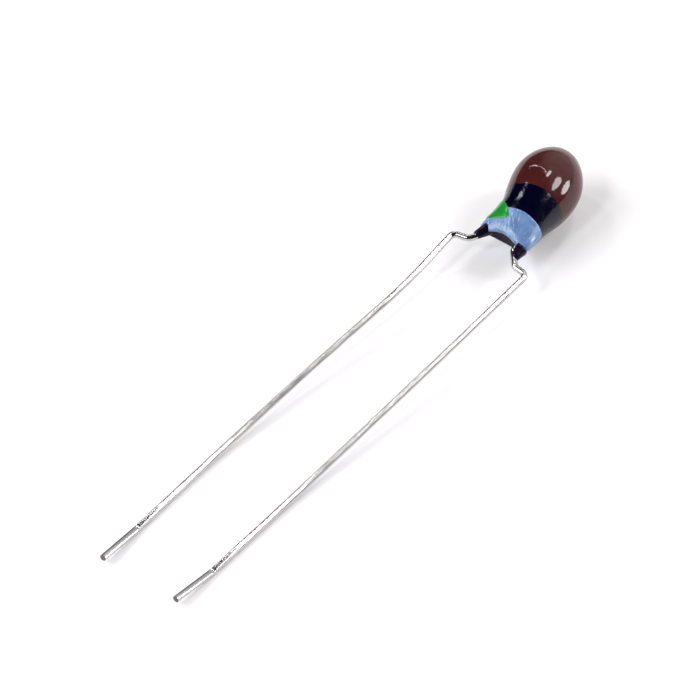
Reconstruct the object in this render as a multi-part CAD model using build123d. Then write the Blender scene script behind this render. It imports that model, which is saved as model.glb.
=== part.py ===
"""Dipped bead tantalum capacitor, colour coded, with two kinked wire leads.

Lengths are in millimetres. The capacitor lies on a table: +X runs along the leads from their
tips to the bead, +Y is towards the cathode lead and +Z is up. The origin is the middle of the
underside of its bounding box.
"""
import os
from math import atan2, cos, degrees, pi, radians, sin, tan

from build123d import *

# Wire leads, as formed by hand: the long run from the tip, then the kink at the neck
lead_diameter = 0.48
lying_height = lead_diameter / 2
neck_height = 2.5
cathode_long_run = [
    (-38.05, 2.81, 0.6),
    (-34.2, 3.03, lying_height),
    (-25.2, 3.42, lying_height),
    (-14.5, 3.17, 1.2),
    (-5.8, 2.84, 1.93),
]
cathode_kink = [(0.05, 3.25, 2.4), (0.27, 2.05, 2.45), (0.85, 1.70, neck_height)]
cathode_neck_point = (2.6, 1.45, neck_height)
anode_long_run = [
    (-37.8, -3.5, 0.62),
    (-34.0, -3.53, lying_height),
    (-25.5, -3.27, lying_height),
    (-12.0, -3.38, 1.35),
]
anode_kink = [(0.1, -3.38, 2.4), (0.16, -2.25, 2.45), (1.25, -1.2, neck_height)]
tip_bend_radius = 5.0
kink_radius = 0.5
inner_bend_radius = 1.0
gentle_bend_share = 0.45
press_mark_depth = 0.09
press_mark_radius = 1.4

# Bead, measured from its widest section
bead_radius = 2.55
dome_length = 3.4
dome_tip_radius = 2.1
bead_centre = (7.6, 1.0)
bead_heading = 17.0
spine_radius = 21.0
neck_length = 6.5
paint_thickness = 0.08
spot_thickness = 0.05

# Neck sections: distance behind the widest section, half width, half height
neck_sections = [
    (0.0, bead_radius, bead_radius),
    (0.4, 2.538, 2.538),
    (1.1, 2.46, 2.46),
    (2.2, 2.23, 2.24),
    (3.3, 2.0, 1.92),
    (4.4, 1.99, 1.42),
    (5.4, 2.08, 0.92),
    (5.95, 2.04, 0.65),
    (neck_length, 1.92, 0.42),
]

# Resin legs on the leads, and the saddle between them
cathode_leg = ((1.9, 1.5), (0.74, 1.77))
anode_leg = ((1.72, -1.56), (0.7, -1.73))
leg_root_radius = 0.5
leg_tip_radius = 0.31
saddle_radius = 3.3
saddle_floor = (1.8, -0.05)

# Edges of the paint bands, the first two behind the widest section
brown_edge = 2.15
brown_tilt = 3.0
blue_edge = 4.2
blue_tilt = 2.0
blue_end = 1.55
blue_end_tilt = 4.5

# Green spot, on the cathode side of the neck
spot_radius = 1.3
spot_distance = 4.15
spot_elevation = 12.0

# Capacitor element inside the bead, measured from its riser end
slug_back = 1.9
slug_radius = 1.2
slug_length = 2.8
slug_edge = 0.15
dioxide_growth = 0.06
graphite_growth = 0.1
graphite_start = 0.2
silver_growth = 0.16
silver_start = 0.35
riser_radius = 0.15
riser_depth = 1.4
riser_length = 1.9
washer_radius = 0.55
washer_thickness = 0.15
joint_gap = 0.05
cathode_inner_bend = -0.6
cathode_inner_end = 2.0
anode_inner_bend = -2.6
anode_inner_end = -0.95
solder_start = 0.6
solder_length = 1.6
solder_radius = 0.42
solder_sink = 0.12
weld_start = -1.7
weld_length = 0.7
weld_radius = 0.4


def spine_plane(distance):
    """Section plane of the bead, a distance behind its widest section along the curved spine.

    Its x is to the left, its y is up and its z points to the dome.
    """
    heading = radians(bead_heading)
    local_heading = heading - distance / spine_radius
    centre_x = bead_centre[0] - spine_radius * (sin(heading) - sin(local_heading))
    centre_y = bead_centre[1] - spine_radius * (cos(local_heading) - cos(heading))
    forward = Vector(cos(local_heading), sin(local_heading), 0)
    left = Vector(-forward.Y, forward.X, 0)
    return Plane(origin=(centre_x, centre_y, bead_radius), x_dir=left, z_dir=forward)


element_plane = spine_plane(slug_back)
dome_side_radius = (dome_length**2 + bead_radius**2 - 2 * dome_length * dome_tip_radius) / (
    2 * (bead_radius - dome_tip_radius)
)
upright = (Align.CENTER, Align.CENTER, Align.MIN)


def bead_shape(growth):
    """The teardrop of the bead with its neck and saddle, moved outwards by growth."""
    sections = [
        spine_plane(distance) * Ellipse(half_width + growth, half_height + growth)
        for distance, half_width, half_height in neck_sections
    ]
    side_centre = (bead_radius - dome_side_radius, 0)
    tip_centre = (0, dome_length - dome_tip_radius)
    join_angle = degrees(atan2(tip_centre[1], -side_centre[0]))
    side = CenterArc(side_centre, dome_side_radius + growth, 0, join_angle)
    tip = CenterArc(tip_centre, dome_tip_radius + growth, join_angle, 90 - join_angle)
    half_profile = make_face([side, tip, Polyline(tip @ 1, (0, 0), side @ 0)])
    dome = revolve(Plane.XZ * half_profile, Axis.Z)
    saddle_x = saddle_floor[0] - saddle_radius
    saddle = Pos(saddle_x, saddle_floor[1], 0) * Cylinder(saddle_radius, 6 * bead_radius)
    return loft(sections) + spine_plane(0) * dome - saddle


def resin_leg(leg, growth):
    """The cone of resin that climbs one lead below the neck, moved outwards by growth."""
    root = Vector(*leg[0], bead_radius)
    tip = Vector(*leg[1], bead_radius)
    length = (root - tip).length
    cone = Cone(leg_tip_radius + growth, leg_root_radius + growth, length, align=upright)
    eased = chamfer(cone.edges().sort_by(Axis.Z)[0], leg_tip_radius / 4)
    return Plane(origin=tip, z_dir=root - tip) * eased


def gentle_radius(before, corner, after):
    """Radius of the largest tangent arc that leaves a straight part in both runs."""
    run_in = Vector(*corner) - Vector(*before)
    run_out = Vector(*after) - Vector(*corner)
    turn = radians(run_in.get_angle(run_out))
    return gentle_bend_share * min(run_in.length, run_out.length) / tan(turn / 2)


def lead_wire(long_run, kink, inner_run):
    """A round wire along straight runs joined by tangent arcs, with the press mark near its tip."""
    points = long_run + kink + inner_run
    bends = [tip_bend_radius]
    bends += [gentle_radius(*points[i - 1 : i + 2]) for i in range(2, len(long_run))]
    bends += [kink_radius] * (len(kink) - 1)
    bends += [inner_bend_radius] * (len(points) - 2 - len(bends))
    path = FilletPolyline(*points, radius=bends)
    wire = sweep(Plane(origin=path @ 0, z_dir=path % 0) * Circle(lead_diameter / 2), path=path)
    expected = path.length * pi * lead_diameter**2 / 4
    print("lead length", round(path.length, 2), "bend radii", [round(bend, 2) for bend in bends])
    print("volume against section times length", round(wire.volume / expected, 4))
    mark_x, mark_y, mark_z = long_run[1]
    press_z = mark_z + lead_diameter / 2 - press_mark_depth + press_mark_radius
    press = Pos(mark_x, mark_y, press_z) * Rot(90, 0, 0) * Cylinder(press_mark_radius, 4 * lead_diameter)
    return wire - press


def element_point(sideways, forward):
    """A point at lead height, placed from the middle of the pellet's riser end."""
    point = element_plane.from_local_coords((sideways, 0, forward))
    return (point.X, point.Y, point.Z)


def pellet(growth, start):
    """The pellet with its coats up to growth, beginning at start from the riser end."""
    block = Pos(0, 0, start) * Cylinder(
        slug_radius + growth, slug_length + growth - start, align=upright
    )
    rims = block.edges().filter_by(GeomType.CIRCLE).sort_by(Axis.Z)
    eased = rims[-1:] if start > 0 else rims
    return element_plane * chamfer(eased, slug_edge)




def ahead_of(plane, tilt):
    """Everything on the dome's side of a section plane turned by tilt."""
    size = 10 * bead_radius
    return plane * Rot(0, tilt, 0) * Box(size, size, size, align=upright)


# Wires and the capacitor element
cathode_offset = slug_radius + silver_growth + joint_gap + lead_diameter / 2
anode_offset = -riser_radius - joint_gap - lead_diameter / 2
cathode_inner_run = [
    cathode_neck_point,
    element_point(cathode_offset, cathode_inner_bend),
    element_point(cathode_offset, cathode_inner_end),
]
anode_inner_run = [
    element_point(anode_offset, anode_inner_bend),
    element_point(anode_offset, anode_inner_end),
]
cathode_lead = lead_wire(cathode_long_run, cathode_kink, cathode_inner_run)
anode_lead = lead_wire(anode_long_run, anode_kink, anode_inner_run)
riser_wire = element_plane * Pos(0, 0, -riser_length) * Cylinder(
    riser_radius, riser_length + riser_depth, align=upright
)
washer_disc = element_plane * Pos(0, 0, -washer_thickness) * Cylinder(
    washer_radius, washer_thickness, align=upright
)
bare_pellet = pellet(0, 0)
dioxide_pellet = pellet(dioxide_growth, -dioxide_growth)
graphite_pellet = pellet(graphite_growth, graphite_start)
silver_pellet = pellet(silver_growth, silver_start)
solder_place = element_plane * Pos(cathode_offset - solder_sink, 0, solder_start)
solder_run = solder_place * Cylinder(solder_radius, solder_length, align=upright)
weld_place = element_plane * Pos(anode_offset / 2, 0, weld_start)
weld_nugget = weld_place * Cylinder(weld_radius, weld_length, align=upright)
anode_slug = bare_pellet - riser_wire
ptfe_washer = washer_disc - riser_wire
manganese_dioxide_coat = dioxide_pellet - bare_pellet - washer_disc
graphite_coat = graphite_pellet - dioxide_pellet
silver_coat = silver_pellet - graphite_pellet - dioxide_pellet
cathode_solder = solder_run - silver_pellet - cathode_lead
anode_weld = weld_nugget - riser_wire - anode_lead

# Resin bead, moulded round all of that
filled = dioxide_pellet + graphite_pellet + silver_pellet + washer_disc + riser_wire
filled = filled + solder_run + weld_nugget
resin_outside = bead_shape(-paint_thickness) + resin_leg(cathode_leg, 0) + resin_leg(anode_leg, 0)
resin_body = resin_outside - filled - cathode_lead - anode_lead

# Paint bands of the colour code, and the spot
paint_outside = bead_shape(0)
paint_outside += resin_leg(cathode_leg, paint_thickness) + resin_leg(anode_leg, paint_thickness)
paint = paint_outside - resin_outside - cathode_lead - anode_lead
dome_side = ahead_of(spine_plane(brown_edge), brown_tilt)
bead_side = ahead_of(spine_plane(blue_edge), blue_tilt)
end_plane = Plane(origin=(blue_end, 0, bead_radius), x_dir=(0, 1, 0), z_dir=(1, 0, 0))
painted_side = ahead_of(end_plane, blue_end_tilt)
brown_dome = paint & dome_side
black_band = (paint & bead_side) - dome_side
blue_side = (paint & painted_side) - bead_side
blue_neck_band = blue_side.solids().sort_by(SortBy.VOLUME)[-1]
spot_axis = spine_plane(spot_distance) * Rot(0, 0, spot_elevation) * Rot(0, 90, 0)
spot_column = spot_axis * Cylinder(spot_radius, 3 * bead_radius, align=upright)
green_spot = (bead_shape(spot_thickness) - paint_outside) & spot_column

nodes = {
    "resin_body": resin_body,
    "brown_dome": brown_dome,
    "black_band": black_band,
    "blue_neck_band": blue_neck_band,
    "green_spot": green_spot,
    "anode_lead": anode_lead,
    "cathode_lead": cathode_lead,
    "anode_slug": anode_slug,
    "riser_wire": riser_wire,
    "ptfe_washer": ptfe_washer,
    "manganese_dioxide_coat": manganese_dioxide_coat,
    "graphite_coat": graphite_coat,
    "silver_coat": silver_coat,
    "cathode_solder": cathode_solder,
    "anode_weld": anode_weld,
}

box = Compound(list(nodes.values())).bounding_box()
to_origin = Pos(-(box.min.X + box.max.X) / 2, -(box.min.Y + box.max.Y) / 2, -box.min.Z)
print("moved to the origin by", to_origin.position, "size", box.size)
os.makedirs("parts", exist_ok=True)
for name, solid in nodes.items():
    export_step(to_origin * solid, f"parts/{name}.step")
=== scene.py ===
"""Looks of a dipped bead tantalum capacitor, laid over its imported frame.

The frame's axes hold: +X runs along the leads from their tips to the bead, +Y is towards the
cathode lead and +Z is up. Lengths are in metres, written as so many mm.
"""
from math import cos, pi, radians, sin, tan

import bmesh
import bpy
import numpy as np
from bpy.props import FloatProperty, FloatVectorProperty, IntProperty, PointerProperty
from mathutils import Matrix, Quaternion, Vector


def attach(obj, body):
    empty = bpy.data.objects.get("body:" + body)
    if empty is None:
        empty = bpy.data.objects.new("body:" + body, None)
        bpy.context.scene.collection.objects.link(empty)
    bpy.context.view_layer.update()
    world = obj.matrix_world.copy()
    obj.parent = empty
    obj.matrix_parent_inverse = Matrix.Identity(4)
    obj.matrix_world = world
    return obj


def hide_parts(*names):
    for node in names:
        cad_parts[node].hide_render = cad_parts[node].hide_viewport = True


bl_info = {
    "name": "Bead tantalum capacitor",
    "version": (1, 0, 0),
    "blender": (4, 5, 0),
    "location": "View3D > Sidebar > Capacitor",
    "description": "Dresses the capacitor's frame with its paint, resin, wires and stage",
    "category": "Object",
}

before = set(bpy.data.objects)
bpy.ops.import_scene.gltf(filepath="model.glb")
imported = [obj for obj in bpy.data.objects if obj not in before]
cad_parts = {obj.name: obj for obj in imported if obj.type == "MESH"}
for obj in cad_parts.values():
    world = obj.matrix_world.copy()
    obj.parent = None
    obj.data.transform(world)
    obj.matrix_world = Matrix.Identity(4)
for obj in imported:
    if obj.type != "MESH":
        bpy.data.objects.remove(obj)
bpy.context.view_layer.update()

mm = 0.001

# The point between the corners of the two leads, as it lies in the frame, in millimetres.
# The routes, the resin legs and the saddle are measured from it, in millimetres too
route_origin = (13.5665, 0.0731, 0.0)

# The bead, with the widest section's middle, the spine that bends back from it to the neck,
# and each section's distance behind the widest one, half width and half height, in millimetres
widest_middle = (7.6, 1.0, 2.55)
bead_centre = tuple((place + shift) * mm for place, shift in zip(widest_middle, route_origin))
bead_heading = 17.0
spine_radius = 21.0 * mm
neck_length = 6.5
neck_sections = [
    (0.0, 2.55, 2.55),
    (0.4, 2.538, 2.538),
    (1.1, 2.46, 2.46),
    (2.2, 2.23, 2.24),
    (3.3, 2.0, 1.92),
    (4.4, 1.99, 1.42),
    (5.4, 2.08, 0.92),
    (5.95, 2.04, 0.65),
    (neck_length, 1.92, 0.42),
]

# The routes of the wires from tip to pellet, each corner with its bend radius
cathode_route = [
    (-38.05, 2.81, 0.6, 0),
    (-34.2, 3.03, 0.24, 5.0),
    (-25.2, 3.42, 0.24, 72.6),
    (-14.5, 3.17, 1.2, 400),
    (-5.8, 2.84, 1.93, 49.1),
    (0.05, 3.25, 2.4, 0.5),
    (0.27, 2.05, 2.45, 0.5),
    (0.85, 1.70, 2.5, 1.0),
    (2.6, 1.45, 2.5, 1.0),
    (5.4, 2.35, 2.55, 0),
]
anode_route = [
    (-37.8, -3.5, 0.62, 0),
    (-34.0, -3.53, 0.24, 5.0),
    (-25.5, -3.27, 0.24, 84.3),
    (-12.0, -3.38, 1.35, 900),
    (0.1, -3.38, 2.4, 0.5),
    (0.16, -2.25, 2.45, 0.5),
    (1.25, -1.2, 2.5, 1.0),
    (3.36, -0.72, 2.55, 1.0),
    (4.95, -0.25, 2.55, 0),
]

# The dent where each lead was gripped near its tip
press_mark_radius = 1.4 * mm
press_mark_depth = 0.09 * mm
press_mark_reach = 0.6 * mm

# The cones of resin on the leads, each from its root to its tip, and the saddle between them
cathode_leg = ((1.9, 1.5), (0.74, 1.77))
anode_leg = ((1.72, -1.56), (0.7, -1.73))
leg_height = 2.55
leg_tip_radius = 0.31
leg_tip_round = 0.06
leg_tip_flat = 0.8 * leg_tip_radius
leg_root_radius = 0.5
leg_sides = 24
saddle_radius = 3.3
saddle_floor = (1.8, -0.05)
saddle_tuck = 0.17
saddle_cut_height = 4.0

# The grain at which bead and legs melt into one, in millimetres, and how often it is smoothed
melt_grain = 0.05
melt_passes = 8

# How the coats meet: how deep they lie under the full paint, how far the outer ones lap over
# the black, how far it is tucked under them, and how their edges are eased
coat_step = 0.02 * mm
lap = 0.3 * mm
lap_gap = 0.004 * mm
black_gap = 1.5 * lap_gap
tucked = 0.8 * lap
brown_ease = 1.2 * mm
blue_ease = 0.1 * mm
lip_reach = 0.5 * mm
lip_drop = 0.25 * mm
lip_skin = 0.03 * mm
edge_wander = 0.03 * mm
brown_tilt = 3.0
blue_tilt = 2.0
corner_ease = 0.04 * mm
under_rim = 0.4 * mm

# The green dab, over the coats
dab_thickness = 0.05 * mm
dab_sink = 0.01 * mm
dab_round = 0.25 * mm


class CapacitorShape(bpy.types.PropertyGroup):
    """Sizes of the bead, its paint and its wires."""

    bead_radius: FloatProperty(
        name="Bead radius", description="Half the width of the bead at its widest",
        default=2.55 * mm, min=mm, unit="LENGTH", precision=5,
    )
    dome_length: FloatProperty(
        name="Dome length", description="From the widest section to the dome's tip",
        default=3.4 * mm, min=mm, unit="LENGTH", precision=5,
    )
    dome_tip_radius: FloatProperty(
        name="Dome tip radius", description="Radius of the dome's rounder tip",
        default=2.1 * mm, min=mm, unit="LENGTH", precision=5,
    )
    paint_thickness: FloatProperty(
        name="Paint thickness", description="How far the paint stands over the resin",
        default=0.08 * mm, min=0.01 * mm, unit="LENGTH", precision=5,
    )
    brown_edge: FloatProperty(
        name="Brown edge", description="Where the brown ends, behind the widest section",
        default=2.15 * mm, unit="LENGTH", precision=5,
    )
    blue_edge: FloatProperty(
        name="Blue edge", description="Where the blue begins, behind the widest section",
        default=4.2 * mm, unit="LENGTH", precision=5,
    )
    blue_end: FloatProperty(
        name="Blue end", description="Where the blue ends on the neck, along X",
        default=1.55 * mm, unit="LENGTH", precision=5,
    )
    blue_end_lean: FloatProperty(
        name="Blue end lean", description="How far the blue's end leans towards the cathode side",
        default=radians(4.5), subtype="ANGLE",
    )
    spot_length: FloatProperty(
        name="Spot length", description="Half the green spot's length along the bead",
        default=0.88 * mm, min=0.1 * mm, unit="LENGTH", precision=5,
    )
    spot_height: FloatProperty(
        name="Spot height", description="Half the green spot's height round the bead",
        default=1.2 * mm, min=0.1 * mm, unit="LENGTH", precision=5,
    )
    spot_distance: FloatProperty(
        name="Spot distance", description="Middle of the green spot, behind the widest section",
        default=4.42 * mm, unit="LENGTH", precision=5,
    )
    spot_elevation: FloatProperty(
        name="Spot elevation", description="How far the green spot sits above the side",
        default=radians(14.0), subtype="ANGLE",
    )
    wire_radius: FloatProperty(
        name="Wire radius", description="Half the thickness of the leads",
        default=0.24 * mm, min=0.05 * mm, unit="LENGTH", precision=5,
    )
    wire_sides: IntProperty(
        name="Wire sides", description="Faces round each lead", default=40, min=8, max=96,
    )


class CapacitorColours(bpy.types.PropertyGroup):
    """Colours of the paint code and of the wires."""

    brown: FloatVectorProperty(
        name="Brown", description="First figure, over the dome", subtype="COLOR",
        default=(0.064, 0.012, 0.012), min=0, max=1,
    )
    black: FloatVectorProperty(
        name="Black", description="Second figure, round the bead", subtype="COLOR",
        default=(0.001, 0.001, 0.009), min=0, max=1,
    )
    blue: FloatVectorProperty(
        name="Blue", description="Voltage, round the neck", subtype="COLOR",
        default=(0.15, 0.265, 0.51), min=0, max=1,
    )
    green: FloatVectorProperty(
        name="Green", description="Multiplier spot on the cathode side", subtype="COLOR",
        default=(0.012, 0.28, 0.035), min=0, max=1,
    )
    resin: FloatVectorProperty(
        name="Resin", description="Dipped resin under the paint", subtype="COLOR",
        default=(0.008, 0.004, 0.014), min=0, max=1,
    )
    tin: FloatVectorProperty(
        name="Tin", description="Coat of the wires", subtype="COLOR",
        default=(0.6, 0.58, 0.585), min=0, max=1,
    )


class StageSettings(bpy.types.PropertyGroup):
    """Camera, floor and light."""

    azimuth: FloatProperty(
        name="Azimuth", description="Camera's direction round the capacitor",
        default=radians(-50.2), subtype="ANGLE",
    )
    elevation: FloatProperty(
        name="Elevation", description="Camera's height over the horizon",
        default=radians(45.6), subtype="ANGLE",
    )
    distance: FloatProperty(
        name="Distance", description="From the camera to the capacitor",
        default=0.6, min=0.1, unit="LENGTH",
    )
    view_width: FloatProperty(
        name="View width", description="Width that the picture takes in at the capacitor",
        default=48.63 * mm, min=mm, unit="LENGTH", precision=5,
    )
    lamp_level: FloatProperty(
        name="Lamp level", description="How bright the lamps are, all together", default=1.0, min=0,
    )


# Bead surface


def smooth_through(places, knots, values, first_slope=None):
    """Values of a smooth curve through the knots, at the given places."""
    steps = np.diff(knots)
    rises = np.diff(values) / steps
    slopes = np.empty(len(knots))
    slopes[1:-1] = (rises[:-1] * steps[1:] + rises[1:] * steps[:-1]) / (steps[1:] + steps[:-1])
    slopes[0] = rises[0] if first_slope is None else first_slope
    slopes[-1] = rises[-1]
    spans = np.clip(np.searchsorted(knots, places) - 1, 0, len(steps) - 1)
    t = (places - knots[spans]) / steps[spans]
    start = (1 + 2 * t) * (1 - t) ** 2 * values[spans] + t**2 * (3 - 2 * t) * values[spans + 1]
    bend = t * (1 - t) ** 2 * slopes[spans] - t**2 * (1 - t) * slopes[spans + 1]
    return start + bend * steps[spans]


def section_sizes(behind):
    """Half width and half height of the bead's section at distances behind the widest one."""
    table = np.array(neck_sections) * mm
    half_width = smooth_through(behind, table[:, 0], table[:, 1], 0.0)
    half_height = smooth_through(behind, table[:, 0], table[:, 2], 0.0)
    return half_width, half_height


def dome_profile(along, growth):
    """Reach and half width of the dome, from a long side arc and a rounder tip arc."""
    shape = bpy.context.scene.capacitor_shape
    radius, length, tip = shape.bead_radius, shape.dome_length, shape.dome_tip_radius
    side = (length**2 + radius**2 - 2 * length * tip) / (2 * (radius - tip))
    turn = -np.minimum(along, 0) / length * pi / 2
    on_tip = turn > np.arctan2(length - tip, side - radius)
    centre_reach = np.where(on_tip, length - tip, 0)
    centre_width = np.where(on_tip, 0, radius - side)
    arc = np.where(on_tip, tip, side) + growth
    return centre_reach + arc * np.sin(turn), centre_width + arc * np.cos(turn)


def bead_surface(along, angle, growth):
    """Points of the bead's surface, moved outwards by growth.

    along is the distance behind the widest section. Below zero it climbs the dome, to its tip at
    minus the dome's length. angle is zero on the cathode side and a quarter turn on top.
    """
    behind = np.maximum(along, 0)
    half_width, half_height = section_sizes(behind)
    forward, dome_width = dome_profile(along, growth)
    narrowing = dome_width / dome_profile(0 * along, growth)[1]
    sideways = (half_width + growth) * narrowing * np.cos(angle)
    upwards = (half_height + growth) * narrowing * np.sin(angle)
    heading = radians(bead_heading)
    local = heading - behind / spine_radius
    centre_x = bead_centre[0] - spine_radius * (sin(heading) - np.sin(local))
    centre_y = bead_centre[1] - spine_radius * (np.cos(local) - cos(heading))
    x = centre_x + forward * np.cos(local) - sideways * np.sin(local)
    y = centre_y + forward * np.sin(local) + sideways * np.cos(local)
    return np.stack([x, y, bead_centre[2] + upwards], axis=-1)


def ring_angles(columns):
    return np.arange(columns) * 2 * pi / columns


def brushed_edge(edge, tilt, angle, wander):
    """Distance behind the widest section of a painted edge, tilted and a little unsteady."""
    half_width, _ = section_sizes(np.full_like(angle, edge))
    leaning = edge + tan(radians(tilt)) * half_width * np.cos(angle)
    return leaning + wander * (np.sin(2 * angle + 0.7) + 0.6 * np.sin(5 * angle + 2.1))


def neck_end_line(angle, growth):
    """Distance behind the widest section at which the blue ends.

    It ends on a leaning plane, and between the legs on the rim of the saddle. The line is found
    in small steps, from a first guess near the neck's end.
    """
    shape = bpy.context.scene.capacitor_shape
    first_guess, steps, step_share = 6.0 * mm, 16, 0.8
    along = np.full_like(angle, first_guess)
    for _ in range(steps):
        point = bead_surface(along, angle, growth)
        x = point[..., 0] - route_origin[0] * mm
        y = point[..., 1] - route_origin[1] * mm
        plane_x = shape.blue_end - tan(shape.blue_end_lean) * y
        off_middle = np.clip((y - saddle_floor[1] * mm) / (saddle_radius * mm), -1, 1)
        rim_x = (saddle_floor[0] - saddle_radius * (1 - np.sqrt(1 - off_middle**2))) * mm
        rim_x = rim_x + under_rim * np.maximum(-np.sin(angle), 0)
        end_x = np.logaddexp(plane_x / corner_ease, rim_x / corner_ease) * corner_ease
        along = along + step_share * (x - end_x)
    return along


def mesh_object(name, points, faces, material):
    """A smooth mesh object at the origin, with its faces turned outwards."""
    mesh = bpy.data.meshes.new(name)
    mesh.from_pydata([tuple(point) for point in points], [], faces)
    shell = bmesh.new()
    shell.from_mesh(mesh)
    bmesh.ops.recalc_face_normals(shell, faces=shell.faces)
    shell.to_mesh(mesh)
    shell.free()
    mesh.polygons.foreach_set("use_smooth", [True] * len(mesh.polygons))
    mesh.materials.append(material)
    made = bpy.data.objects.new(name, mesh)
    bpy.context.scene.collection.objects.link(made)
    return made


def ring_faces(rows, columns, joined=False):
    """Faces between rows of points that run round, and from the last to the first if joined."""
    faces = []
    for row in range(rows if joined else rows - 1):
        here, there = row * columns, (row + 1) % rows * columns
        for i in range(columns):
            j = (i + 1) % columns
            faces.append((here + i, here + j, there + j, there + i))
    return faces


def capped_faces(rows, columns):
    """The same faces, with a flat cap on the first and on the last row."""
    last = (rows - 1) * columns
    caps = [tuple(range(columns)), tuple(range(last + columns - 1, last - 1, -1))]
    return ring_faces(rows, columns) + caps


def closed_skin(name, rings, material, pole=False):
    """A closed skin from rings of points, the outer ones first and then the inner ones back.

    With a pole, the first and last rings shrink to one point each, and stay apart.
    """
    columns = rings[0].shape[0]
    points = np.concatenate(rings)
    count = len(rings)
    faces = ring_faces(count, columns, not pole)
    if pole:
        top, bottom = len(points), len(points) + 1
        points = np.concatenate([points, [rings[0].mean(0)], [rings[-1].mean(0)]])
        last = (count - 1) * columns
        for i in range(columns):
            j = (i + 1) % columns
            faces.append((top, j, i))
            faces.append((bottom, last + i, last + j))
    return mesh_object(name, points, faces, material)


def eased(distance, reach):
    """Height of a rounded edge, from nought at the edge to one where the round ends."""
    t = np.clip(distance / reach, 0, 1)
    return np.sqrt(1 - (1 - t) ** 2)


def crowded(rows, at_start=True, at_end=True):
    """Places from nought to one, closer together at the ends that need it."""
    t = np.linspace(0, 1, rows)
    if at_start and at_end:
        return (1 - np.cos(pi * t)) / 2
    return np.sin(t * pi / 2) if at_end else 1 - np.cos(t * pi / 2)


def band_rings(start, end, angle, rows, outer, inner, crowd=(True, True)):
    """Rings of a band's outside from start to end, and of its inside back again."""
    places = crowded(rows, *crowd)
    outside = []
    inside = []
    for place in places:
        along = start + (end - start) * place
        outside.append(bead_surface(along, angle, outer(along - start, end - along)))
        inside.append(bead_surface(along, angle, inner(along - start, end - along)))
    return outside + inside[::-1]


# Materials


def new_material(name, **values):
    """A material with its principled shader set to plain values, and its node tree to add to."""
    material = bpy.data.materials.new(name)
    material.use_nodes = True
    tree = material.node_tree
    shader = next(node for node in tree.nodes if node.type == "BSDF_PRINCIPLED")
    for socket, value in values.items():
        shader.inputs[socket.replace("_", " ")].default_value = value
    return material, tree, shader


def object_place(tree, scale=(1, 1, 1), turn=0.0):
    """Object coordinates in millimetres, turned and stretched."""
    coordinates = tree.nodes.new("ShaderNodeTexCoord")
    mapping = tree.nodes.new("ShaderNodeMapping")
    mapping.vector_type = "TEXTURE"
    mapping.inputs["Rotation"].default_value = (0, 0, radians(turn))
    mapping.inputs["Scale"].default_value = [mm / part for part in scale]
    tree.links.new(coordinates.outputs["Object"], mapping.inputs["Vector"])
    return mapping.outputs["Vector"]


def noise(tree, place, scale, detail=3.0, distortion=0.0):
    made = tree.nodes.new("ShaderNodeTexNoise")
    made.inputs["Scale"].default_value = scale
    made.inputs["Detail"].default_value = detail
    made.inputs["Distortion"].default_value = distortion
    tree.links.new(place, made.inputs["Vector"])
    return made.outputs["Fac"]


def spread(tree, factor, low, high, to_low, to_high):
    """The factor's part between low and high, stretched to run between two values."""
    made = tree.nodes.new("ShaderNodeMapRange")
    for socket, value in zip(made.inputs[1:5], (low, high, to_low, to_high)):
        socket.default_value = value
    tree.links.new(factor, made.inputs["Value"])
    return made.outputs["Result"]


def math_node(tree, operation, *values):
    """The outcome of plain arithmetic on sockets and numbers."""
    made = tree.nodes.new("ShaderNodeMath")
    made.operation = operation
    for socket, value in zip(made.inputs, values):
        if isinstance(value, bpy.types.NodeSocket):
            tree.links.new(value, socket)
        else:
            socket.default_value = value
    return made.outputs[0]


def blend_colours(tree, factor, first, second):
    """A blend of two colours. The sockets of the node share their names, so they go by number."""
    made = tree.nodes.new("ShaderNodeMix")
    made.data_type = "RGBA"
    made.inputs[6].default_value = (*first, 1)
    made.inputs[7].default_value = (*second, 1)
    tree.links.new(factor, made.inputs[0])
    return made.outputs[2]


def bump(tree, height, distance, below=None):
    """Normals of a rough surface, over those of a coarser one where there is one below."""
    made = tree.nodes.new("ShaderNodeBump")
    made.inputs["Distance"].default_value = distance
    tree.links.new(height, made.inputs["Height"])
    if below is not None:
        tree.links.new(below, made.inputs["Normal"])
    return made.outputs["Normal"]


def shaded(colour, factor):
    return tuple(min(1, part * factor) for part in colour)


def gloss_paint(name, colour, dark, light, waviness, gloss=0.04, speckle=0.0, shine=0.33):
    """A glossy hand-dipped coat with faint clouds, slow waves and, if asked, a fine speckle."""
    material, tree, shader = new_material(name, Specular_IOR_Level=shine)
    place = object_place(tree)
    clouds = noise(tree, place, 0.9, 4, 0.6)
    tint = blend_colours(
        tree, spread(tree, clouds, 0.35, 0.65, 0, 1), shaded(colour, dark), shaded(colour, light)
    )
    tree.links.new(tint, shader.inputs["Base Color"])
    rough = spread(tree, noise(tree, place, 5.0, 3), 0.3, 0.7, gloss, gloss + 0.06)
    tree.links.new(rough, shader.inputs["Roughness"])
    normal = bump(tree, noise(tree, place, 1.1, 2), waviness)
    normal = bump(tree, noise(tree, place, 9.0, 3), speckle, normal)
    tree.links.new(normal, shader.inputs["Normal"])
    return material


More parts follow.
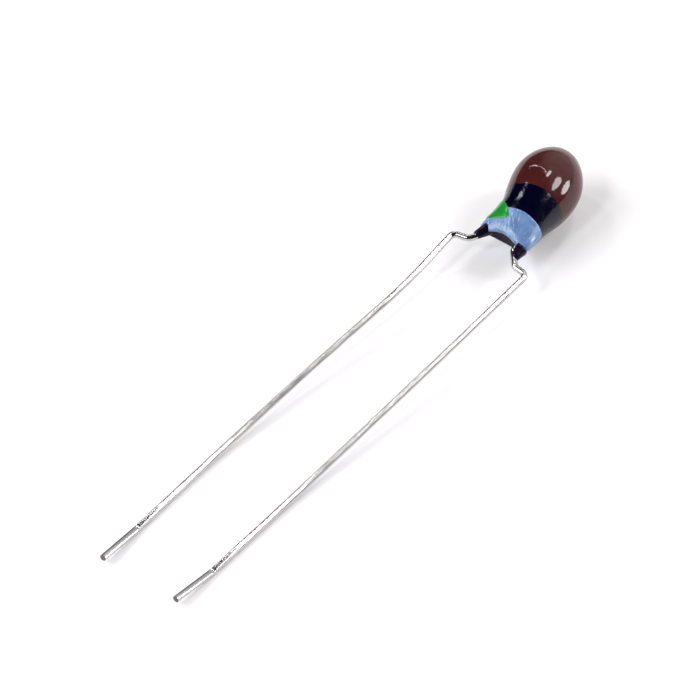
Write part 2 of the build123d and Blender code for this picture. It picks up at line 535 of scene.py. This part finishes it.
def brushed_paint(name, colour):
    """A satin coat put on with a brush, whose streaks run along the bead."""
    material, tree, shader = new_material(name, Specular_IOR_Level=0.8)
    streaks = object_place(tree, (0.25, 1, 1), bead_heading)
    fine = noise(tree, streaks, 4.5, 3, 0.3)
    broad = noise(tree, object_place(tree, (0.6, 1, 1), bead_heading), 1.3, 3, 0.5)
    tint = blend_colours(
        tree, spread(tree, broad, 0.35, 0.65, 0, 1), shaded(colour, 0.82), shaded(colour, 1.12)
    )
    tree.links.new(tint, shader.inputs["Base Color"])
    rough = spread(tree, fine, 0.35, 0.65, 0.12, 0.32)
    tree.links.new(rough, shader.inputs["Roughness"])
    under = bump(tree, broad, 0.05 * mm)
    tree.links.new(bump(tree, fine, 0.07 * mm, under), shader.inputs["Normal"])
    return material


def tinned_wire(name, colour):
    """Bright drawn wire under a tin coat, with drawing lines and dull patches."""
    material, tree, shader = new_material(name, Metallic=1.0)
    lines = noise(tree, object_place(tree, (0.12, 1, 1)), 7.0, 3)
    patches = noise(tree, object_place(tree, (0.5, 1, 1)), 1.1, 4, 0.4)
    tint = blend_colours(
        tree, spread(tree, patches, 0.4, 0.7, 0, 1), colour, shaded(colour, 0.88)
    )
    tree.links.new(tint, shader.inputs["Base Color"])
    rough = spread(tree, patches, 0.3, 0.7, 0.14, 0.26)
    tree.links.new(rough, shader.inputs["Roughness"])
    under = bump(tree, patches, 0.01 * mm)
    tree.links.new(bump(tree, lines, 0.004 * mm, under), shader.inputs["Normal"])
    return material


def grainy(name, colour, grain, roughness, metallic=0.0, depth=0.02 * mm):
    """A matt or metallic stuff of fine grains, such as a sintered or painted coat."""
    material, tree, shader = new_material(name, Metallic=metallic)
    place = object_place(tree)
    grains = noise(tree, place, grain, 4)
    tint = blend_colours(
        tree, spread(tree, grains, 0.3, 0.7, 0, 1), shaded(colour, 0.7), shaded(colour, 1.15)
    )
    tree.links.new(tint, shader.inputs["Base Color"])
    rough = spread(tree, grains, 0.3, 0.7, roughness - 0.08, roughness + 0.08)
    tree.links.new(rough, shader.inputs["Roughness"])
    tree.links.new(bump(tree, grains, depth), shader.inputs["Normal"])
    return material


# Pieces


def finish_piece(piece, node):
    """Hangs the piece on the root body and hides the frame's part that it stands in for."""
    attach(piece, "root")
    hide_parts(node)


def apply_modifiers(context, piece):
    """Keeps the shape that the piece's modifiers give, and takes them away."""
    context.view_layer.update()
    evaluated = piece.evaluated_get(context.evaluated_depsgraph_get())
    shaped = bpy.data.meshes.new_from_object(evaluated)
    piece.modifiers.clear()
    piece.data = shaped


def resin_leg(leg):
    """Points and faces of a cone of resin with an eased tip along one lead, in millimetres."""
    (root_x, root_y), (tip_x, tip_y) = leg
    root = Vector((root_x, root_y, leg_height)) + Vector(route_origin)
    tip = Vector((tip_x, tip_y, leg_height)) + Vector(route_origin)
    axis = (root - tip).normalized()
    side = axis.cross(Vector((0, 0, 1))).normalized()
    up = side.cross(axis)
    length = (root - tip).length
    profile = [(0.0, leg_tip_flat), (leg_tip_round, leg_tip_radius), (length, leg_root_radius)]
    points = []
    for height, radius in profile:
        for angle in ring_angles(leg_sides):
            points.append(tip + axis * height + (side * cos(angle) + up * sin(angle)) * radius)
    return points, capped_faces(len(profile), leg_sides)


class MESH_OT_capacitor_resin(bpy.types.Operator):
    """Make the dipped resin bead with its neck, legs and saddle"""

    bl_idname = "mesh.capacitor_resin"
    bl_label = "Make the resin"

    rows, columns = 80, 96
    dome_share = 0.985

    def execute(self, context):
        colours = context.scene.capacitor_colours
        material = gloss_paint("dark_resin", colours.resin, 0.8, 1.3, 0.03 * mm, shine=0.18)
        bead = self.bead(context, material)
        saddle = self.saddle_cutter(material)
        cut = bead.modifiers.new("saddle", "BOOLEAN")
        cut.operation = "DIFFERENCE"
        cut.object = saddle
        apply_modifiers(context, bead)
        bpy.data.objects.remove(saddle)
        self.add_legs(bead.data)
        melt = bead.modifiers.new("melt", "REMESH")
        melt.mode = "VOXEL"
        melt.voxel_size = melt_grain
        ease = bead.modifiers.new("ease", "SMOOTH")
        ease.factor = 0.5
        ease.iterations = melt_passes
        apply_modifiers(context, bead)
        melted = bead.data
        melted.transform(Matrix.Scale(mm, 4))
        melted.polygons.foreach_set("use_smooth", [True] * len(melted.polygons))
        melted.materials.clear()
        melted.materials.append(material)
        finish_piece(bead, "resin_body")
        return {"FINISHED"}

    def bead(self, context, material):
        """The bead and its neck under the paint, in millimetres, still without saddle and legs."""
        shape = context.scene.capacitor_shape
        angle = ring_angles(self.columns)
        rings = [
            bead_surface(np.full_like(angle, along), angle, -shape.paint_thickness)
            for along in np.linspace(-shape.dome_length * self.dome_share, neck_length * mm, self.rows)
        ]
        points = np.concatenate(rings) / mm
        return mesh_object("resin_bead", points, capped_faces(self.rows, self.columns), material)

    def saddle_cutter(self, material):
        """An upright cylinder that hollows the neck's end between the legs."""
        centre_x = saddle_floor[0] + saddle_tuck - saddle_radius + route_origin[0]
        centre_y = saddle_floor[1] + route_origin[1]
        centre_z = leg_height + route_origin[2]
        points = []
        for z in (centre_z - saddle_cut_height, centre_z + saddle_cut_height):
            for angle in ring_angles(self.columns):
                across = saddle_radius * cos(angle)
                points.append((centre_x + across, centre_y + saddle_radius * sin(angle), z))
        return mesh_object("saddle_cutter", points, capped_faces(2, self.columns), material)

    def add_legs(self, mesh):
        """Stands the two cones of resin in the bead's mesh."""
        whole = bmesh.new()
        whole.from_mesh(mesh)
        for leg in (cathode_leg, anode_leg):
            points, faces = resin_leg(leg)
            made = [whole.verts.new(point) for point in points]
            for face in faces:
                whole.faces.new([made[i] for i in face])
        bmesh.ops.recalc_face_normals(whole, faces=whole.faces)
        whole.to_mesh(mesh)
        whole.free()


class MESH_OT_capacitor_paint(bpy.types.Operator):
    """Make the brown, black and blue coats and the green spot"""

    bl_idname = "mesh.capacitor_paint"
    bl_label = "Make the paint"

    columns, dab_columns = 160, 96
    brown_rows, black_rows, blue_rows, dab_rows = 90, 40, 60, 24
    dome_share = 0.997
    steepest_rise = 0.97

    def execute(self, context):
        shape = context.scene.capacitor_shape
        angle = ring_angles(self.columns)
        brown_line = brushed_edge(shape.brown_edge, brown_tilt, angle, edge_wander)
        blue_line = brushed_edge(shape.blue_edge, blue_tilt, angle, edge_wander)
        end_line = neck_end_line(angle, -coat_step)
        self.brown(context, angle, brown_line)
        self.black(context, angle, brown_line - tucked, blue_line + tucked)
        self.blue(context, angle, blue_line, end_line)
        self.green(context)
        return {"FINISHED"}

    def brown(self, context, angle, edge):
        """The coat over the dome, with a long soft edge that laps over the black."""
        shape = context.scene.capacitor_shape
        colour = context.scene.capacitor_colours.brown

        def outside(_, to_edge):
            return -coat_step + coat_step * eased(to_edge, brown_ease)

        def inside(_, to_edge):
            return np.where(to_edge < lap, -coat_step - lap_gap, -shape.paint_thickness)

        tip = np.full_like(angle, -self.dome_share * shape.dome_length)
        rings = band_rings(tip, edge, angle, self.brown_rows, outside, inside, crowd=(False, True))
        paint = gloss_paint("brown_paint", colour, 0.85, 1.15, 0.015 * mm)
        coat = closed_skin("brown_coat", rings, paint, pole=True)
        finish_piece(coat, "brown_dome")

    def black(self, context, angle, start, end):
        """The coat round the bead, which runs under the edges of the other two."""
        shape = context.scene.capacitor_shape
        colour = context.scene.capacitor_colours.black

        def outside(from_start, _):
            return np.full_like(from_start, -coat_step - black_gap)

        def inside(from_start, _):
            return np.full_like(from_start, -shape.paint_thickness)

        rings = band_rings(start, end, angle, self.black_rows, outside, inside)
        paint = gloss_paint("black_paint", colour, 0.8, 1.5, 0.03 * mm, gloss=0.05, speckle=0.009 * mm)
        coat = closed_skin("black_coat", rings, paint)
        finish_piece(coat, "black_band")

    def blue(self, context, angle, edge, end):
        """The coat round the neck, which laps over the black and rolls in at the saddle's lip."""
        shape = context.scene.capacitor_shape
        colour = context.scene.capacitor_colours.blue

        def outside(from_edge, to_end):
            raised = -coat_step + coat_step * eased(from_edge, blue_ease)
            return raised - lip_drop * (1 - eased(to_end, lip_reach))

        def inside(from_edge, to_end):
            lapped = np.where(from_edge < lap, -coat_step - lap_gap, -shape.paint_thickness)
            return np.minimum(lapped, outside(from_edge, to_end) - lip_skin)

        rings = band_rings(edge, end, angle, self.blue_rows, outside, inside)
        coat = closed_skin("blue_coat", rings, brushed_paint("blue_paint", colour))
        finish_piece(coat, "blue_neck_band")

    def green(self, context):
        """The thick green dab on the cathode side, as a lens of paint."""
        shape = context.scene.capacitor_shape
        colour = context.scene.capacitor_colours.green
        turn = ring_angles(self.dab_columns)
        uneven = 1 + 0.04 * np.sin(2 * turn + 1) + 0.03 * np.sin(3 * turn)
        outline = shape.spot_height * uneven
        squeeze = shape.spot_length / shape.spot_height
        outside, inside = [], []
        for place in crowded(self.dab_rows, False, True)[1:]:
            along = shape.spot_distance + squeeze * outline * place * np.cos(turn)
            half_width, half_height = section_sizes(along)
            upright = half_height * cos(shape.spot_elevation)
            aside = half_width * sin(shape.spot_elevation)
            rise = outline * place * np.sin(turn) / np.hypot(upright, aside)
            rise = np.clip(rise, -self.steepest_rise, self.steepest_rise)
            angle = np.arctan2(aside, upright) + np.arcsin(rise)
            thick = dab_thickness * eased(outline * (1 - place), dab_round)
            outside.append(bead_surface(along, angle, thick))
            inside.append(bead_surface(along, angle, np.full_like(turn, -dab_sink)))
        paint = gloss_paint("green_paint", colour, 0.85, 1.2, 0.03 * mm, gloss=0.12)
        dab = closed_skin("green_dab", outside + inside[::-1], paint, pole=True)
        finish_piece(dab, "green_spot")


def bent_wire_tree():
    """A node tree that rounds a route's corners by its own radii and lays a round wire along it."""
    tree = bpy.data.node_groups.new("bent_wire", "GeometryNodeTree")
    interface = tree.interface
    interface.new_socket("Geometry", in_out="INPUT", socket_type="NodeSocketGeometry")
    interface.new_socket("Wire Radius", in_out="INPUT", socket_type="NodeSocketFloat")
    interface.new_socket("Wire Sides", in_out="INPUT", socket_type="NodeSocketInt")
    interface.new_socket("Material", in_out="INPUT", socket_type="NodeSocketMaterial")
    interface.new_socket("Geometry", in_out="OUTPUT", socket_type="NodeSocketGeometry")
    nodes, links = tree.nodes, tree.links
    inputs = nodes.new("NodeGroupInput")
    outputs = nodes.new("NodeGroupOutput")
    route = nodes.new("GeometryNodeMeshToCurve")
    corners = nodes.new("GeometryNodeFilletCurve")
    corners.mode = "POLY"
    corners.inputs["Count"].default_value = 16
    corners.inputs["Limit Radius"].default_value = True
    radius = nodes.new("GeometryNodeInputNamedAttribute")
    radius.data_type = "FLOAT"
    radius.inputs["Name"].default_value = "bend_radius"
    profile = nodes.new("GeometryNodeCurvePrimitiveCircle")
    sweep = nodes.new("GeometryNodeCurveToMesh")
    sweep.inputs["Fill Caps"].default_value = True
    smooth = nodes.new("GeometryNodeSetShadeSmooth")
    realise = nodes.new("GeometryNodeRealizeInstances")
    dress = nodes.new("GeometryNodeSetMaterial")
    links.new(inputs.outputs["Geometry"], route.inputs["Mesh"])
    links.new(route.outputs["Curve"], corners.inputs["Curve"])
    links.new(radius.outputs["Attribute"], corners.inputs["Radius"])
    links.new(inputs.outputs["Wire Radius"], profile.inputs["Radius"])
    links.new(inputs.outputs["Wire Sides"], profile.inputs["Resolution"])
    links.new(corners.outputs["Curve"], sweep.inputs["Curve"])
    links.new(profile.outputs["Curve"], sweep.inputs["Profile Curve"])
    links.new(sweep.outputs["Mesh"], smooth.inputs["Geometry"])
    links.new(smooth.outputs["Geometry"], realise.inputs["Geometry"])
    links.new(realise.outputs["Geometry"], dress.inputs["Geometry"])
    links.new(inputs.outputs["Material"], dress.inputs["Material"])
    links.new(dress.outputs["Geometry"], outputs.inputs["Geometry"])
    return tree


class MESH_OT_capacitor_leads(bpy.types.Operator):
    """Make the two tinned leads along their routes"""

    bl_idname = "mesh.capacitor_leads"
    bl_label = "Make the leads"

    def execute(self, context):
        colours = context.scene.capacitor_colours
        tree = bent_wire_tree()
        tin = tinned_wire("tinned_wire", colours.tin)
        cut = grainy("cut_tip", (0.2, 0.19, 0.18), 9.0, 0.5, 1.0, 0.01 * mm)
        for name, route, node in (
            ("cathode_wire", cathode_route, "cathode_lead"),
            ("anode_wire", anode_route, "anode_lead"),
        ):
            wire = self.wire(context, name, route, tree, tin, cut)
            finish_piece(wire, node)
        return {"FINISHED"}

    def wire(self, context, name, route, tree, tin, cut):
        """One round lead along its route, pressed and cut near its tip."""
        shape = context.scene.capacitor_shape
        points = [(Vector(corner[:3]) + Vector(route_origin)) * mm for corner in route]
        mesh = bpy.data.meshes.new(name)
        mesh.from_pydata(points, [(i, i + 1) for i in range(len(points) - 1)], [])
        bends = mesh.attributes.new("bend_radius", "FLOAT", "POINT")
        bends.data.foreach_set("value", [corner[3] * mm for corner in route])
        wire = bpy.data.objects.new(name, mesh)
        context.scene.collection.objects.link(wire)
        bending = wire.modifiers.new("bending", "NODES")
        bending.node_group = tree
        values = {"Wire Radius": shape.wire_radius, "Wire Sides": shape.wire_sides, "Material": tin}
        for item in tree.interface.items_tree:
            if item.in_out == "INPUT" and item.name in values:
                bending[item.identifier] = values[item.name]
        apply_modifiers(context, wire)
        self.press_and_cut(wire.data, points, shape.wire_radius, cut)
        return wire

    def press_and_cut(self, mesh, points, radius, cut):
        """Dents the wire where it was gripped near its tip, and darkens its cut face."""
        mark = points[1]
        press_z = mark.z + radius - press_mark_depth + press_mark_radius
        for vertex in mesh.vertices:
            reach = abs(vertex.co.x - mark.x)
            if reach < press_mark_reach:
                ceiling = press_z - (press_mark_radius**2 - reach**2) ** 0.5
                vertex.co.z = min(vertex.co.z, ceiling)
        mesh.materials.append(cut)
        # Only the flat ends have more than four corners
        for face in mesh.polygons:
            if len(face.vertices) > 4:
                face.use_smooth = False
                if face.center.x < points[1].x:
                    face.material_index = len(mesh.materials) - 1
        mesh.set_sharp_from_angle(angle=radians(50))


class MESH_OT_capacitor_inside(bpy.types.Operator):
    """Dress the pieces that the resin hides"""

    bl_idname = "mesh.capacitor_inside"
    bl_label = "Dress the inside"

    def execute(self, context):
        # Each with its colour, grains to the millimetre, roughness, share of metal and grain depth
        finishes = {
            "anode_slug": grainy("sintered_tantalum", (0.2, 0.2, 0.22), 14.0, 0.6, 0.8),
            "riser_wire": grainy("tantalum", (0.4, 0.41, 0.44), 5.0, 0.3, 1.0, 0.004 * mm),
            "ptfe_washer": grainy("ptfe", (0.8, 0.8, 0.8), 3.0, 0.6),
            "manganese_dioxide_coat": grainy("manganese_dioxide", (0.03, 0.03, 0.03), 18.0, 0.8),
            "graphite_coat": grainy("graphite", (0.08, 0.08, 0.09), 9.0, 0.55),
            "silver_coat": grainy("silver_paint", (0.7, 0.7, 0.71), 12.0, 0.45, 0.9),
            "cathode_solder": grainy("solder", (0.65, 0.65, 0.67), 4.0, 0.3, 1.0, 0.01 * mm),
            "anode_weld": grainy("weld", (0.45, 0.45, 0.46), 6.0, 0.4, 1.0, 0.01 * mm),
        }
        for node, material in finishes.items():
            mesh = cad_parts[node].data
            mesh.materials.clear()
            mesh.materials.append(material)
        return {"FINISHED"}


# Stage


def direction(azimuth, elevation):
    """Unit direction, with the azimuth from +X towards +Y, both in degrees."""
    a, e = radians(azimuth), radians(elevation)
    return Vector((cos(a) * cos(e), sin(a) * cos(e), sin(e)))


class SCENE_OT_capacitor_stage(bpy.types.Operator):
    """Make the floor, the soft lamps, the world and the camera"""

    bl_idname = "scene.capacitor_stage"
    bl_label = "Make the stage"

    # Where the picture's middle lies beside and above the frame's origin, as the camera sees it
    aside, above = -1.077 * mm, 2.445 * mm
    floor_reach = 1.5
    floor_colour = (0.86, 0.84, 0.855, 1)
    floor_glow = 0.12
    room_glow = 0.04
    lamp_distance = 0.5

    # Each with its name, azimuth, elevation, lean, width, height and brightness
    lamps = (
        ("key_lamp", 89.0, 47.5, 0.0, 0.035, 0.085, 26.0),
        ("right_lamp", -43.0, 42.5, 0.0, 0.16, 0.15, 11.0),
        ("low_right_lamp", -45.5, 13.5, 0.0, 0.17, 0.15, 12.0),
        ("far_lamp", 3.0, 62.0, -20.0, 0.07, 0.09, 14.0),
        ("strip_lamp", 51.0, 49.3, 40.0, 0.008, 0.56, 16.0),
        ("near_lamp", 176.0, 46.0, 0.0, 0.09, 0.09, 20.0),
        ("side_lamp", 135.0, 36.0, 0.0, 0.4, 0.4, 3.9),
    )

    def execute(self, context):
        self.camera(context)
        self.floor()
        self.world(context)
        for lamp in self.lamps:
            self.lamp(context, *lamp)
        context.scene.view_settings.view_transform = "Standard"
        return {"FINISHED"}

    def camera(self, context):
        """The camera at the picture's angle, with the capacitor placed as in the picture."""
        stage = context.scene.capacitor_stage
        a, e = stage.azimuth, stage.elevation
        back = Vector((sin(a) * cos(e), -cos(a) * cos(e), sin(e)))
        right = Vector((cos(a), sin(a), 0))
        up = back.cross(right)
        data = bpy.data.cameras.new("picture_camera")
        data.sensor_width = 36.0
        data.lens = data.sensor_width * stage.distance / stage.view_width
        data.clip_start = 0.05
        camera = bpy.data.objects.new("picture_camera", data)
        context.scene.collection.objects.link(camera)
        camera.location = back * stage.distance + right * self.aside + up * self.above
        camera.rotation_mode = "QUATERNION"
        camera.rotation_quaternion = (-back).to_track_quat("-Z", "Y")
        context.scene.camera = camera

    def floor(self):
        """A pale floor that looks white to the camera and keeps the shadows."""
        material, tree, shader = new_material("pale_floor", Roughness=0.9)
        shader.inputs["Base Color"].default_value = self.floor_colour
        shader.inputs["Specular IOR Level"].default_value = 0.1
        path = tree.nodes.new("ShaderNodeLightPath")
        seen = math_node(tree, "MAXIMUM", path.outputs["Is Camera Ray"], path.outputs["Is Glossy Ray"])
        seen = math_node(tree, "MAXIMUM", seen, path.outputs["Is Transmission Ray"])
        glow = math_node(tree, "MULTIPLY", seen, self.floor_glow)
        shader.inputs["Emission Color"].default_value = (1, 1, 1, 1)
        tree.links.new(glow, shader.inputs["Emission Strength"])
        reach = self.floor_reach
        corners = [(-reach, -reach, 0), (reach, -reach, 0), (reach, reach, 0), (-reach, reach, 0)]
        mesh_object("floor", corners, [(0, 1, 2, 3)], material)

    def world(self, context):
        """A dim room with soft light beyond the dome, and white to the camera."""
        world = bpy.data.worlds.new("studio")
        world.use_nodes = True
        tree = world.node_tree
        background = next(node for node in tree.nodes if node.type == "BACKGROUND")
        light_side = spread(tree, self.facing(tree, direction(-10, -23)), -0.03, 0.1, self.room_glow, 1)
        middle = spread(tree, self.facing(tree, direction(-6, 28)), 0.62, 0.9, self.room_glow, 0.75)
        light = math_node(tree, "MULTIPLY", light_side, middle)
        path = tree.nodes.new("ShaderNodeLightPath")
        white = math_node(tree, "MAXIMUM", light, path.outputs["Is Camera Ray"])
        background.inputs["Color"].default_value = (1, 1, 1, 1)
        tree.links.new(white, background.inputs["Strength"])
        context.scene.world = world

    def facing(self, tree, towards):
        """How far a direction of the world points towards another."""
        coordinates = tree.nodes.new("ShaderNodeTexCoord")
        made = tree.nodes.new("ShaderNodeVectorMath")
        made.operation = "DOT_PRODUCT"
        made.inputs[1].default_value = towards
        tree.links.new(coordinates.outputs["Generated"], made.inputs[0])
        return made.outputs["Value"]

    def lamp(self, context, name, azimuth, elevation, lean, width, height, brightness):
        """A soft oval lamp that looks at the bead, leaning about its line of sight."""
        level = context.scene.capacitor_stage.lamp_level
        towards = direction(azimuth, elevation)
        data = bpy.data.lights.new(name, "AREA")
        data.shape = "ELLIPSE"
        data.size, data.size_y = width, height
        data.energy = brightness * level * pi * width * height
        lamp = bpy.data.objects.new(name, data)
        lamp.location = Vector(bead_centre) + towards * self.lamp_distance
        lamp.rotation_mode = "QUATERNION"
        upright = (-towards).to_track_quat("-Z", "Y")
        lamp.rotation_quaternion = upright @ Quaternion((0, 0, 1), radians(lean))
        lamp.visible_camera = False
        context.scene.collection.objects.link(lamp)


# Panel and registering


class VIEW3D_PT_capacitor(bpy.types.Panel):
    """Lists the capacitor's sizes, colours and makers"""

    bl_label = "Capacitor"
    bl_space_type = "VIEW_3D"
    bl_region_type = "UI"
    bl_category = "Capacitor"

    def draw(self, context):
        layout = self.layout
        for group in ("capacitor_shape", "capacitor_colours", "capacitor_stage"):
            settings = getattr(context.scene, group)
            box = layout.box()
            for name in settings.bl_rna.properties.keys():
                if name not in ("rna_type", "name"):
                    box.prop(settings, name)
        for operator in makers:
            layout.operator(operator.bl_idname)


settings_groups = {
    "capacitor_shape": CapacitorShape,
    "capacitor_colours": CapacitorColours,
    "capacitor_stage": StageSettings,
}
makers = (
    MESH_OT_capacitor_resin,
    MESH_OT_capacitor_paint,
    MESH_OT_capacitor_leads,
    MESH_OT_capacitor_inside,
    SCENE_OT_capacitor_stage,
)
classes = (*settings_groups.values(), *makers, VIEW3D_PT_capacitor)


def register():
    for item in classes:
        bpy.utils.register_class(item)
    for name, group in settings_groups.items():
        setattr(bpy.types.Scene, name, PointerProperty(type=group))


def unregister():
    for name in settings_groups:
        delattr(bpy.types.Scene, name)
    for item in reversed(classes):
        bpy.utils.unregister_class(item)


def main():
    register()
    bpy.ops.scene.capacitor_stage()
    bpy.ops.mesh.capacitor_resin()
    bpy.ops.mesh.capacitor_paint()
    bpy.ops.mesh.capacitor_leads()
    bpy.ops.mesh.capacitor_inside()


if __name__ == "__main__":
    main()
